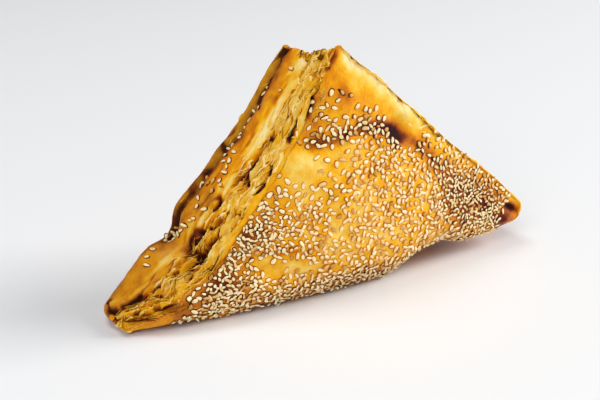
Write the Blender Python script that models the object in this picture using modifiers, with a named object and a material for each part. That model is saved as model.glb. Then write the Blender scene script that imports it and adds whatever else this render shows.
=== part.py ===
"""Boureka: one baked triangular turnover of laminated pastry, standing on its folded edge.

Metres. X runs along the fold, Y through the thickness (the seeded face is at -Y), Z is up.
The crust is a loft of closed rings. They start at the middle of the front face, grow out
to its edge, cross the layered wall and close again at the middle of the back face.
"""
import math

import bmesh
import bpy
import numpy as np

# Each sheet's outline is a belt round three round tips: left tip, apex, right tip.
FRONT_TIPS = ((-0.0950, 0.0049), (-0.0078, 0.1052), (0.0900, 0.0166))
BACK_TIPS = ((-0.0932, 0.0052), (-0.0079, 0.0970), (0.0900, 0.0156))
FRONT_RADII = (0.0030, 0.0032, 0.0064)
BACK_RADII = (0.0032, 0.0026, 0.0064)

# Where an edge leaves its straight run: share of the side from its start, reach, height.
FRONT_LEFT_SWELLS = ((0.25, 0.25, -0.0170), (0.65, 0.22, -0.0110))
BACK_LEFT_SWELLS = ((0.12, 0.08, -0.0006), (0.29, 0.06, -0.0064), (0.52, 0.12, -0.0022),
                    (0.75, 0.16, -0.0042))
FRONT_RIGHT_SWELLS = ((0.07, 0.08, -0.0002), (0.55, 0.14, -0.0006), (0.86, 0.10, 0.0014))
BACK_RIGHT_SWELLS = ((0.07, 0.08, -0.0016), (0.55, 0.14, -0.0006), (0.86, 0.10, 0.0014))
SWELL_START = 0.05         # share of a side over which its swells set in

# The fold rests on a flat strip between these places and lifts towards both tips.
REST_FROM = -0.058
REST_TO = 0.018
REST_FRONT = 0.0070        # the strip's front and back edges, in Y
REST_BACK = 0.0115
FRONT_WIDENING = (0.0010, 0.0040)   # the fold is this much wider at the left and right tip
BACK_WIDENING = (0.0040, 0.0040)
REST_BLENDS = (0.022, 0.034)        # lengths over which the fold leaves the strip, left and right
RIGHT_SAG = (0.070, 0.013, 0.0030)  # the lifted fold sags here: place in X, reach, depth
FRONT_PINCH = (0.0110, 0.0030)      # the front sheet curves back at the left tip: face, fold
BACK_PINCH = (0.0, 0.0)
PINCH_FROM = 0.80                   # share of the way from the apex to the tip
PINCH_OVER = 0.32
FOLD_ROUND = 0.0220        # height over which the faces round down into the fold
TIP_ROUND = 0.0070         # the same at the two tips, which are blunt

# Half thickness of the two faces at the left tip, the apex and the right tip, from the seam.
SEAM_Y = 0.00095
FRONT_HALF = (0.0135, 0.0210, 0.0120)
BACK_HALF = (0.0150, 0.0210, 0.0125)
FRONT_PUFF = 0.0030        # the middle of the front face swells this far out
BACK_PUFF = 0.0010
FOLD_PUFF = 0.0020         # extra fullness of the filling just above the fold
FOLD_PUFF_HEIGHT = 0.0280
FOLD_PUFF_REACH = 0.0220

# Across the wall from the front edge (0) to the back edge (1): place and height of each ridge.
WALL_PLACES = (0.00, 0.06, 0.17, 0.29, 0.38, 0.45, 0.55, 0.68, 0.79, 0.85, 0.92, 1.00)
WALL_HEIGHTS = (0.0, -0.0004, -0.0018, -0.0020, -0.0040, -0.0014,
                0.0002, 0.0010, -0.0004, -0.0028, -0.0004, 0.0)
APEX_DIP = -0.0044         # the wall sags between the two corners of the apex
APEX_DIP_REACH = 0.0120
TIP_BULGE = 0.0016         # the blunt ends of the fold are rounded in plan

# Half thickness, fold edge, widening and pinch of the two sheets.
FRONT_SHEET = (FRONT_HALF, REST_FRONT, FRONT_WIDENING, FRONT_PINCH)
BACK_SHEET = (BACK_HALF, REST_BACK, BACK_WIDENING, BACK_PINCH)

MIDDLE = (0.0040, 0.0190)    # where the rings of both faces start, in X and Z
TIP_UNDERSIDES = (FRONT_TIPS[0][1] - FRONT_RADII[0], FRONT_TIPS[2][1] - FRONT_RADII[2])
FACE_SHARES = (0.12, 0.36, 0.58, 0.76, 0.89, 0.97)
SIDE_POINTS = (15, 10, 14)  # left leg, right leg, fold
TIP_POINTS = 4

CRUST_COLOUR = (0.62, 0.34, 0.09, 1.0)
CRUST_ROUGHNESS = 0.5


def smooth_step(value):
    """0 below 0, 1 above 1, with a soft rise between."""
    value = np.clip(value, 0.0, 1.0)
    return value * value * (3.0 - 2.0 * value)


def belt_normal(start, end, start_radius, end_radius):
    """Outward direction of the straight run that touches two round tips, going clockwise."""
    along = end - start
    length = np.linalg.norm(along)
    along /= length
    lean = (start_radius - end_radius) / length
    outward = np.array((-along[1], along[0]))
    return outward * math.sqrt(1.0 - lean * lean) + along * lean


def fold_height(x, height):
    """Height of the fold's underside: flat on the resting strip, free towards the tips."""
    left_lift = smooth_step((REST_FROM - x) / REST_BLENDS[0])
    right_lift = smooth_step((x - REST_TO) / REST_BLENDS[1])
    sag_place, sag_reach, sag_depth = RIGHT_SAG
    sag = sag_depth * right_lift * np.exp(-((x - sag_place) / sag_reach) ** 2)
    return height * np.maximum(left_lift, right_lift) - sag


def outline(centres, radii, left_swells, right_swells):
    """Closed outline in X and Z: left tip, left leg, apex, right leg, right tip, fold."""
    centres = [np.array(centre) for centre in centres]
    normals = []
    for i in range(3):
        j = (i + 1) % 3
        normals.append(belt_normal(centres[i], centres[j], radii[i], radii[j]))
    swells = (left_swells, right_swells, ())
    pieces = []
    for i in range(3):
        j = (i + 1) % 3
        first = math.atan2(normals[i - 1][1], normals[i - 1][0])
        last = math.atan2(normals[i][1], normals[i][0])
        sweep = (first - last) % (2.0 * math.pi)
        angles = first - sweep * np.linspace(0.0, 1.0, TIP_POINTS)
        pieces.append(centres[i] + radii[i] * np.column_stack((np.cos(angles), np.sin(angles))))
        start = centres[i] + radii[i] * normals[i]
        end = centres[j] + radii[j] * normals[i]
        shares = np.linspace(0.0, 1.0, SIDE_POINTS[i] + 2)[1:-1, None]
        straight = start + (end - start) * shares
        ends_held = smooth_step(shares / SWELL_START) * np.sin(math.pi * shares) ** 0.5
        for place, reach, height in swells[i]:
            swell = height * ends_held * np.exp(-((shares - place) / reach) ** 2)
            straight = straight + normals[i] * swell
        pieces.append(straight)
    pieces[-1][:, 1] = fold_height(pieces[-1][:, 0], pieces[-1][:, 1])
    return np.concatenate(pieces)


def half_depth(flat, halves, rest_edge, widening, pinch):
    """Half thickness of one face: thick at the apex, thinner at the tips, rounded to the fold."""
    x, z = flat[:, 0], flat[:, 1]
    apex_x = FRONT_TIPS[1][0]
    on_left = x < apex_x
    left_reach = apex_x - FRONT_TIPS[0][0]
    right_reach = FRONT_TIPS[2][0] - apex_x
    away = np.where(on_left, (apex_x - x) / left_reach, (x - apex_x) / right_reach)
    curl = smooth_step((away - PINCH_FROM) / PINCH_OVER) * on_left
    tip_half = np.where(on_left, halves[0], halves[2])
    full = halves[1] + (tip_half - halves[1]) * smooth_step(away) - pinch[0] * curl
    tip_underside = np.where(x < 0.0, TIP_UNDERSIDES[0], TIP_UNDERSIDES[1])
    outer = smooth_step(away * 2.0 - 1.0)
    rounding = FOLD_ROUND + (TIP_ROUND - FOLD_ROUND) * outer
    rise = 1.0 - np.clip((z - fold_height(x, tip_underside)) / rounding, 0.0, 1.0)
    wider = np.where(on_left, widening[0], widening[1])
    underside_half = rest_edge + wider * outer - pinch[1] * curl
    return underside_half + (full - underside_half) * np.sqrt(1.0 - rise ** 2)


def face_rings(edge, sheet, puff, side):
    """Rings of one face, from its middle to just inside its edge."""
    middle = np.array(MIDDLE)
    rings = []
    for share in FACE_SHARES:
        flat = middle + (edge - middle) * share
        fullness = np.exp(-((flat[:, 1] - FOLD_PUFF_HEIGHT) / FOLD_PUFF_REACH) ** 2)
        swell = (puff + FOLD_PUFF * fullness) * (1.0 - share ** 3)
        depth = half_depth(flat, *sheet) + swell
        rings.append(np.column_stack((flat[:, 0], SEAM_Y + side * depth, flat[:, 1])))
    return rings


def wall_rings(front_edge, back_edge):
    """Rings across the layered wall, from the front sheet's edge to the back sheet's."""
    front_half = half_depth(front_edge, *FRONT_SHEET)
    back_half = half_depth(back_edge, *BACK_SHEET)
    rings = []
    for place, height in zip(WALL_PLACES, WALL_HEIGHTS):
        flat = front_edge + (back_edge - front_edge) * place
        ahead = np.roll(flat, -1, axis=0) - np.roll(flat, 1, axis=0)
        outward = np.column_stack((-ahead[:, 1], ahead[:, 0]))
        outward /= np.linalg.norm(outward, axis=1)[:, None]
        on_legs = smooth_step((outward[:, 1] + 0.1) / 0.6)
        on_tips = smooth_step((np.abs(outward[:, 0]) - 0.6) / 0.4)
        on_apex = np.exp(-((flat[:, 0] - FRONT_TIPS[1][0]) / APEX_DIP_REACH) ** 2) * on_legs
        crown = TIP_BULGE * on_tips + APEX_DIP * on_apex
        lift = height * on_legs + crown * math.sin(math.pi * place)
        flat = flat + outward * lift[:, None]
        depth = SEAM_Y - front_half + (back_half + front_half) * place
        rings.append(np.column_stack((flat[:, 0], depth, flat[:, 1])))
    return rings


def crust_rings():
    """All rings of the crust in order, from the front middle to the back middle."""
    front_edge = outline(FRONT_TIPS, FRONT_RADII, FRONT_LEFT_SWELLS, FRONT_RIGHT_SWELLS)
    back_edge = outline(BACK_TIPS, BACK_RADII, BACK_LEFT_SWELLS, BACK_RIGHT_SWELLS)
    front = face_rings(front_edge, FRONT_SHEET, FRONT_PUFF, -1.0)
    back = face_rings(back_edge, BACK_SHEET, BACK_PUFF, 1.0)
    return front + wall_rings(front_edge, back_edge) + back[::-1]


def loft(name, rings):
    """Closed mesh object through the rings, with one cap at each end."""
    mesh_builder = bmesh.new()
    rows = [[mesh_builder.verts.new(point) for point in ring] for ring in rings]
    count = len(rows[0])
    for row, next_row in zip(rows[:-1], rows[1:]):
        for i in range(count):
            j = (i + 1) % count
            mesh_builder.faces.new((row[i], row[j], next_row[j], next_row[i]))
    mesh_builder.faces.new(rows[0][::-1])
    mesh_builder.faces.new(rows[-1])
    bmesh.ops.recalc_face_normals(mesh_builder, faces=mesh_builder.faces)
    mesh = bpy.data.meshes.new(name)
    mesh_builder.to_mesh(mesh)
    mesh_builder.free()
    mesh.shade_smooth()
    return bpy.data.objects.new(name, mesh)


def baked_crust_material():
    """Golden-brown baked pastry."""
    material = bpy.data.materials.new("baked_crust")
    material.use_nodes = True
    shader = material.node_tree.nodes["Principled BSDF"]
    shader.inputs["Base Color"].default_value = CRUST_COLOUR
    shader.inputs["Roughness"].default_value = CRUST_ROUGHNESS
    shader.inputs["Metallic"].default_value = 0.0
    return material


def main():
    for leftover in list(bpy.data.objects):
        bpy.data.objects.remove(leftover, do_unlink=True)
    collection = bpy.data.collections.new("boureka")
    bpy.context.scene.collection.children.link(collection)
    crust = loft("crust", crust_rings())
    collection.objects.link(crust)
    crust.data.materials.append(baked_crust_material())
    smoothing = crust.modifiers.new("smoothing", "SUBSURF")
    smoothing.levels = 1
    smoothing.render_levels = 1


main()
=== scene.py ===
import math

import bpy
import numpy as np
from mathutils import Matrix, Vector


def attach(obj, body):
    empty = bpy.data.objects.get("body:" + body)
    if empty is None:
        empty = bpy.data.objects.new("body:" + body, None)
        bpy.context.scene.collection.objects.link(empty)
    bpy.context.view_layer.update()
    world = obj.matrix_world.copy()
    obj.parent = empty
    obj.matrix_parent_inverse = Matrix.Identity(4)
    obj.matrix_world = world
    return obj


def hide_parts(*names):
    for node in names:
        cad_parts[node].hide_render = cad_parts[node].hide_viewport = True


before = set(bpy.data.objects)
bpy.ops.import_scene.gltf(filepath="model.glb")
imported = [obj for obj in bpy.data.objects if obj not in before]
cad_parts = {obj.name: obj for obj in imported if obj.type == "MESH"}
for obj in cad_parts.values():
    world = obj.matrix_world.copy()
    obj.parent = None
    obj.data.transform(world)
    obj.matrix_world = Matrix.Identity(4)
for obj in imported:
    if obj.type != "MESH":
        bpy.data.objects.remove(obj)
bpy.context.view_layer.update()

mm = 0.001                     # everything below is in millimetres and degrees, and is
                               # multiplied by mm where it goes into a mesh
print("frame loaded")


# camera, light and floor

view = {
    "stands": (-270.8, -437.8, 233.1),     # where the camera stands
    "aimsAt": (-13.6, 0.95, 38.85),
    "roll": -0.52,
    "lens": 78.9,
    "sensor": 36.0,
    "near": 10.0,
    "far": 50000.0,
}

studio = {
    # soft lights: name, where it stands, size, power, colour; the key is on the right and a
    # little in front, the fill on the left and in front, and a weak one above
    "lights": (
        ("key", (1960.0, -740.0, 1250.0), 1150.0, 50.0, (1.0, 0.985, 0.96)),
        ("fill", (-1450.0, -1300.0, 1350.0), 1250.0, 26.0, (0.98, 0.99, 1.0)),
        ("top", (-500.0, 300.0, 2200.0), 1000.0, 14.0, (1.0, 0.99, 0.97)),
    ),
    "lightsAt": (0.0, 0.0, 40.0),
    "skyColour": (0.96, 0.98, 1.0),
    "skyStrength": 0.20,
    "floorSize": 9000.0,
    "floorColour": (0.86, 0.87, 0.89),
    "floorRough": 0.6,
    "floorShine": 0.25,
}


def facing(direction, roll=0.0):
    # rotation that turns -Z to the direction, then rolls about it
    turn = Vector(direction).to_track_quat("-Z", "Y").to_matrix()
    return turn @ Matrix.Rotation(math.radians(roll), 3, "Z")


def makeCamera(s):
    data = bpy.data.cameras.new("camera")
    data.lens = s["lens"]
    data.sensor_width = s["sensor"]
    data.clip_start = s["near"] * mm
    data.clip_end = s["far"] * mm
    camera = bpy.data.objects.new("camera", data)
    stands = Vector(s["stands"])
    turn = facing(Vector(s["aimsAt"]) - stands, s["roll"]).to_4x4()
    camera.matrix_world = Matrix.Translation(stands * mm) @ turn
    bpy.context.scene.collection.objects.link(camera)
    bpy.context.scene.camera = camera


def makeLights(s):
    for name, stands, size, power, colour in s["lights"]:
        data = bpy.data.lights.new(name, "AREA")
        data.shape = "SQUARE"
        data.size = size * mm
        data.energy = power
        data.color = colour
        light = bpy.data.objects.new(name, data)
        stands = Vector(stands)
        turn = facing(Vector(s["lightsAt"]) - stands).to_4x4()
        light.matrix_world = Matrix.Translation(stands * mm) @ turn
        bpy.context.scene.collection.objects.link(light)
    world = bpy.data.worlds.new("studio")
    world.use_nodes = True
    sky = world.node_tree.nodes["Background"]
    sky.inputs["Color"].default_value = (*s["skyColour"], 1.0)
    sky.inputs["Strength"].default_value = s["skyStrength"]
    bpy.context.scene.world = world
    bpy.context.scene.view_settings.view_transform = "Standard"


def makeFloor(s):
    half = s["floorSize"] * mm / 2
    corners = [(-half, -half, 0.0), (half, -half, 0.0), (half, half, 0.0), (-half, half, 0.0)]
    mesh = bpy.data.meshes.new("floor")
    mesh.from_pydata(corners, [], [(0, 1, 2, 3)])
    floor = bpy.data.objects.new("floor", mesh)
    material = bpy.data.materials.new("paleFloor")
    material.use_nodes = True
    shader = material.node_tree.nodes["Principled BSDF"]
    shader.inputs["Base Color"].default_value = (*s["floorColour"], 1.0)
    shader.inputs["Roughness"].default_value = s["floorRough"]
    shader.inputs["Specular IOR Level"].default_value = s["floorShine"]
    mesh.materials.append(material)
    bpy.context.scene.collection.objects.link(floor)


makeCamera(view)
makeLights(studio)
makeFloor(studio)
print("camera, light and floor made")


# shared tools for surfaces worked out as arrays

def smoothStep(value):
    # 0 below 0, 1 above 1, and 3v² - 2v³ between them
    value = np.clip(value, 0.0, 1.0)
    return value * value * (3.0 - 2.0 * value)


def rampUp(value, start, over):
    # smooth step from 0 at the start to 1 this much further on
    return smoothStep((value - start) / over)


def rampDown(value, end, over):
    # smooth step down to 0 at the end, begun this much before it
    return smoothStep((end - value) / over)


def between(value, start, over, end, fade):
    # up after the start and down before the end
    return rampUp(value, start, over) * rampDown(value, end, fade)


def unit(vectors):
    # each vector divided by its length
    return vectors / np.maximum(np.linalg.norm(vectors, axis=-1, keepdims=True), 1e-9)


def scramble(cells, seed):
    # a value from -1 to 1 for each whole-numbered cell, the same on every run
    cells = cells.astype(np.uint32)
    key = cells[..., 0] * np.uint32(73856093)
    key ^= cells[..., 1] * np.uint32(19349663)
    key ^= cells[..., 2] * np.uint32(83492791)
    key += np.uint32(seed * 7919 + 101)
    key = (key ^ (key >> np.uint32(15))) * np.uint32(2246822519)
    key = (key ^ (key >> np.uint32(13))) * np.uint32(3266489917)
    key ^= key >> np.uint32(16)
    return key / 2147483647.5 - 1.0


def softNoise(points, size, seed):
    # a scrambled value at each corner of a lattice of this cell size, blended along each
    # axis with the smooth step
    place = np.asarray(points, float) / size
    corner = np.floor(place).astype(np.int64)
    share = smoothStep(place - corner)
    total = np.zeros(place.shape[:-1])
    for step in range(8):
        offset = np.array((step & 1, (step >> 1) & 1, (step >> 2) & 1))
        weight = np.prod(np.where(offset == 1, share, 1.0 - share), axis=-1)
        total += weight * scramble(corner + offset, seed)
    return total


def spotSum(first, second, spots):
    # sum of soft ovals: amount · exp(-(along/long)² - (across/short)²), each turned by its angle
    total = np.zeros(np.shape(first))
    for spotFirst, spotSecond, long, short, angle, amount in spots:
        turn = math.radians(angle)
        along = (first - spotFirst) * math.cos(turn) + (second - spotSecond) * math.sin(turn)
        across = (second - spotSecond) * math.cos(turn) - (first - spotFirst) * math.sin(turn)
        total += amount * np.exp(-(along / long) ** 2 - (across / short) ** 2)
    return total


def softProfile(value, places, heights, blur):
    # straight runs between the places, averaged over five points one blur apart
    steps = [np.interp(value + blur * k, places, heights) for k in (-2, -1, 0, 1, 2)]
    return sum(steps) / len(steps)


def gridNormals(grid):
    # cross product of the differences along columns (closed) and rows (open)
    alongColumns = np.roll(grid, -1, axis=1) - np.roll(grid, 1, axis=1)
    alongRows = np.gradient(grid, axis=0)
    return unit(np.cross(alongColumns, alongRows))


def gridSample(grid, row, column):
    # bilinear reading of a grid at fractional rows and columns, columns closed
    rows, columns = grid.shape[:2]
    row = np.clip(row, 0.0, rows - 1.001)
    lowRow = np.floor(row).astype(int)
    lowColumn = np.floor(column).astype(int)
    rowShare = (row - lowRow)[..., None]
    columnShare = (column - lowColumn)[..., None]
    left = lowColumn % columns
    right = (lowColumn + 1) % columns
    low = grid[lowRow, left] * (1 - columnShare) + grid[lowRow, right] * columnShare
    high = grid[lowRow + 1, left] * (1 - columnShare) + grid[lowRow + 1, right] * columnShare
    return low * (1 - rowShare) + high * rowShare


def gridValue(grid, row, column):
    # the same for a grid with one number at each point
    return gridSample(grid[..., None], row, column)[..., 0]


def putMesh(name, points, faces, values, material):
    # points in mm, faces as lists of vertex numbers, values as one number for each vertex
    mesh = bpy.data.meshes.new(name)
    points = np.maximum(points, (-np.inf, -np.inf, 0.0))       # nothing goes under the floor
    mesh.from_pydata((points * mm).tolist(), [], faces)
    for label, numbers in values.items():
        layer = mesh.attributes.new(label, "FLOAT", "POINT")
        layer.data.foreach_set("value", np.ascontiguousarray(numbers, np.float32).ravel())
    mesh.shade_smooth()
    mesh.materials.append(material)
    mesh.validate()
    piece = bpy.data.objects.new(name, mesh)
    bpy.context.scene.collection.objects.link(piece)
    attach(piece, "root")
    print(name, len(mesh.vertices), "points", sum(len(face) - 2 for face in faces), "triangles")
    return piece


# crust shape: nested rings round the front face, over the layered wall and round the back face

crustShape = {
    "frontTips": ((-95.0, 4.9), (-7.8, 105.2), (90.0, 16.6)),   # left tip, apex, right tip: x, z
    "backTips": ((-93.2, 5.2), (-7.9, 97.0), (90.0, 15.6)),
    "frontRadii": (3.0, 3.2, 6.4),
    "backRadii": (3.2, 2.6, 6.4),
    "frontSwells": (((0.25, 0.25, -17.0), (0.65, 0.22, -11.0)),
                    ((0.07, 0.08, -0.2), (0.55, 0.14, -0.6), (0.86, 0.10, 1.4)), ()),
    "backSwells": (((0.12, 0.08, -0.6), (0.29, 0.06, -6.4), (0.52, 0.12, -2.2), (0.75, 0.16, -4.2)),
                   ((0.07, 0.08, -1.6), (0.55, 0.14, -0.6), (0.86, 0.10, 1.4)), ()),
    "restFrom": -58.0,
    "restTo": 18.0,
    "restFront": 7.0,
    "restBack": 11.5,
    "frontWidening": (1.0, 4.0),           # the fold is this much wider at the left and right tip
    "backWidening": (4.0, 4.0),
    "frontPinch": (11.0, 3.0),             # the front sheet curves back at the left tip: face, fold
    "pinchFrom": 0.80,
    "pinchOver": 0.32,
    "restBlends": (22.0, 34.0),
    "rightSag": (70.0, 13.0, 3.0),         # the lifted fold sags here: x, reach, depth
    "foldRound": 22.0,
    "tipRound": 7.0,
    "seam": 0.95,
    "frontHalf": (13.5, 21.0, 12.0),       # half thickness at the left tip, apex and right tip
    "backHalf": (15.0, 21.0, 12.5),
    "frontPuff": 3.0,
    "backPuff": 1.0,
    "foldPuff": 2.0,
    "foldPuffHeight": 28.0,
    "foldPuffReach": 22.0,
    "tipBulge": 1.6,
    "apexDip": -4.4,
    "apexDipReach": 12.0,
    "legFacing": (-0.1, 0.6),              # how far up, out or down the wall faces where a leg,
    "tipFacing": (0.6, 0.4),               # a tip and the layered part set in, and over how much
    "layeredFacing": (-0.78, 0.5),
    "swellStart": 0.05,                    # share over which the bends set in
    "middle": (4.0, 19.0),
    "tipColumns": 22,
    "sideColumns": (226, 112, 112),
    "frontRows": 68,
    "wallRows": 92,
    "backRows": 28,
}


def beltNormal(start, end, startRadius, endRadius):
    # outward direction of the straight run that touches two round tips
    along = end - start
    length = np.linalg.norm(along)
    along = along / length
    lean = (startRadius - endRadius) / length
    return np.array((-along[1], along[0])) * math.sqrt(1.0 - lean * lean) + along * lean


def foldHeight(x, height, s):
    # flat on the resting strip, free towards both tips, with a sag on the right
    leftBlend, rightBlend = s["restBlends"]
    leftLift = rampDown(x, s["restFrom"], leftBlend)
    rightLift = rampUp(x, s["restTo"], rightBlend)
    sagAt, reach, depth = s["rightSag"]
    sag = depth * rightLift * np.exp(-((x - sagAt) / reach) ** 2)
    return height * np.maximum(leftLift, rightLift) - sag


def outline(tips, radii, swells, s):
    # arcs round the three tips joined by straight runs, each run bent by
    # height · sin(pi·share)^0.5 · exp(-((share-place)/reach)²), set in with the smooth step
    tips = [np.array(tip) for tip in tips]
    normals = [beltNormal(tips[i], tips[(i + 1) % 3], radii[i], radii[(i + 1) % 3])
               for i in range(3)]
    runs = []
    for i in range(3):
        j = (i + 1) % 3
        first = math.atan2(normals[i - 1][1], normals[i - 1][0])
        last = math.atan2(normals[i][1], normals[i][0])
        swing = (first - last) % (2 * math.pi)
        angles = first - swing * np.linspace(0.0, 1.0, s["tipColumns"])
        runs.append(tips[i] + radii[i] * np.column_stack((np.cos(angles), np.sin(angles))))
        start = tips[i] + radii[i] * normals[i]
        end = tips[j] + radii[j] * normals[i]
        share = np.linspace(0.0, 1.0, s["sideColumns"][i] + 2)[1:-1, None]
        run = start + (end - start) * share
        held = smoothStep(share / s["swellStart"]) * np.sqrt(np.sin(math.pi * share))
        for place, reach, height in swells[i]:
            run = run + normals[i] * height * held * np.exp(-((share - place) / reach) ** 2)
        runs.append(run)
    runs[-1][:, 1] = foldHeight(runs[-1][:, 0], runs[-1][:, 1], s)
    return np.concatenate(runs)


def halfDepth(flat, halves, restEdge, widening, pinch, s):
    # half thickness of a face: smooth step from apex to tips, with a quarter round down to the
    # fold, less a pinch at the left tip
    x, z = flat[..., 0], flat[..., 1]
    leftTip, apex, rightTip = s["frontTips"]
    onLeft = x < apex[0]
    leftReach = apex[0] - leftTip[0]
    rightReach = rightTip[0] - apex[0]
    away = np.where(onLeft, (apex[0] - x) / leftReach, (x - apex[0]) / rightReach)
    tipHalf = np.where(onLeft, halves[0], halves[2])
    full = halves[1] + (tipHalf - halves[1]) * smoothStep(away)
    leftUnder = leftTip[1] - s["frontRadii"][0]
    rightUnder = rightTip[1] - s["frontRadii"][2]
    under = foldHeight(x, np.where(x < 0.0, leftUnder, rightUnder), s)
    outer = smoothStep(away * 2.0 - 1.0)
    rounding = s["foldRound"] + (s["tipRound"] - s["foldRound"]) * outer
    rise = 1.0 - np.clip((z - under) / rounding, 0.0, 1.0)
    curl = rampUp(away, s["pinchFrom"], s["pinchOver"]) * onLeft
    full = full - pinch[0] * curl
    underHalf = restEdge + np.where(onLeft, widening[0], widening[1]) * outer - pinch[1] * curl
    return underHalf + (full - underHalf) * np.sqrt(1.0 - rise ** 2)


def faceGrid(edge, shares, sheet, s):
    # rings at middle + (edge - middle)·share, at a depth of half thickness + puff·(1 - share³),
    # where the puff is more along a line just over the fold
    halves, restEdge, widening, pinch, puff, side = sheet
    middle = np.array(s["middle"])
    flat = middle + (edge[None] - middle) * shares[:, None, None]
    fullness = np.exp(-((flat[..., 1] - s["foldPuffHeight"]) / s["foldPuffReach"]) ** 2)
    swell = (puff + s["foldPuff"] * fullness) * (1.0 - shares[:, None] ** 3)
    depth = s["seam"] + side * (halfDepth(flat, halves, restEdge, widening, pinch, s) + swell)
    return np.stack((flat[..., 0], depth, flat[..., 1]), axis=-1)


def wallGrid(front, back, shares, frontSheet, backSheet, s):
    # straight from the front edge to the back edge, with rounded tips and a dip at the apex,
    # both as height · sin(pi·share)
    share = shares[:, None, None]
    flat = front[None] + (back - front)[None] * share
    ahead = np.roll(flat, -1, axis=1) - np.roll(flat, 1, axis=1)
    outward = unit(np.stack((-ahead[..., 1], ahead[..., 0]), axis=-1))
    onLegs = rampUp(outward[..., 1], *s["legFacing"])
    onTips = rampUp(np.abs(outward[..., 0]), *s["tipFacing"])
    onApex = np.exp(-((flat[..., 0] - s["frontTips"][1][0]) / s["apexDipReach"]) ** 2) * onLegs
    crown = (s["tipBulge"] * onTips + s["apexDip"] * onApex) * np.sin(math.pi * shares)[:, None]
    flat = flat + outward * crown[..., None]
    frontHalf = halfDepth(front, *frontSheet[:4], s)
    backHalf = halfDepth(back, *backSheet[:4], s)
    depth = s["seam"] - frontHalf + (backHalf + frontHalf) * shares[:, None]
    return np.stack((flat[..., 0], depth, flat[..., 1]), axis=-1)


def crustBase(s):
    # the plain form, and for each grid point where it is: down the rows and along the outline
    front = outline(s["frontTips"], s["frontRadii"], s["frontSwells"], s)
    back = outline(s["backTips"], s["backRadii"], s["backSwells"], s)
    frontShares = np.linspace(0.0, 1.0, s["frontRows"] + 1)[1:]
    wallShares = np.linspace(0.0, 1.0, s["wallRows"] + 1)[1:]
    backShares = np.linspace(1.0, 0.0, s["backRows"] + 1)[1:-1]
    frontSheet = (s["frontHalf"], s["restFront"], s["frontWidening"], s["frontPinch"],
                  s["frontPuff"], -1.0)
    backSheet = (s["backHalf"], s["restBack"], s["backWidening"], (0.0, 0.0),
                 s["backPuff"], 1.0)
    return np.concatenate((
        faceGrid(front, frontShares, frontSheet, s),
        wallGrid(front, back, wallShares, frontSheet, backSheet, s),
        faceGrid(back, backShares, backSheet, s)))


base = crustBase(crustShape)
baseNormals = gridNormals(base)
rowCount, columnCount = base.shape[:2]
edgeRow = crustShape["frontRows"] - 1                     # the front sheet's edge
backRow = edgeRow + crustShape["wallRows"]                # the back sheet's edge

# shares along both legs, below 0 and above 1 on the round tips, measured at mid wall
midWall = base[(edgeRow + backRow) // 2]
steps = np.linalg.norm(np.roll(midWall, -1, axis=0) - midWall, axis=1)
walked = np.concatenate(((0.0,), np.cumsum(steps)))
perimeter = walked[-1]
walked = walked[:-1]
tipColumns = crustShape["tipColumns"]
leftColumns, rightColumns, _ = crustShape["sideColumns"]
leftStart = tipColumns
leftEnd = leftStart + leftColumns
rightStart = leftEnd + tipColumns
rightEnd = rightStart + rightColumns
rightTipEnd = rightEnd + tipColumns
leftLength = walked[leftEnd] - walked[leftStart]
rightLength = walked[rightEnd] - walked[rightStart]
leftShare = (walked - walked[leftStart]) / leftLength
rightShare = (walked - walked[rightStart]) / rightLength
# 0 at the front edge of the wall and 1 at its back edge
acrossShare = (np.arange(rowCount) - edgeRow) / crustShape["wallRows"]

# how much each column belongs to the layered legs, and to the right one of them; the change from
# left to right runs a little past both sides of the apex
outwardAtWall = baseNormals[(edgeRow + backRow) // 2]
layeredColumns = rampUp(outwardAtWall[:, 2], *crustShape["layeredFacing"])
rightColumnsShare = rampUp(np.arange(columnCount), leftEnd - 2.0, tipColumns + 4.0)
apexSpare, foldSpare = 4, 12                              # columns read beyond the legs


def legColumn(leg, share):
    # fractional grid column at a share of a leg, tips included
    if leg == "right":
        numbers = np.arange(leftEnd - apexSpare, rightTipEnd)
        return np.interp(share, rightShare[numbers], numbers)
    numbers = np.arange(-foldSpare, columnCount)
    unrolled = np.concatenate((walked[-foldSpare:] - perimeter, walked))
    return np.interp(share * leftLength + walked[leftStart], unrolled, numbers)


print("crust form", base.min(axis=(0, 1)).round(1), base.max(axis=(0, 1)).round(1))


# crust relief, in mm out of the plain form

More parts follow.
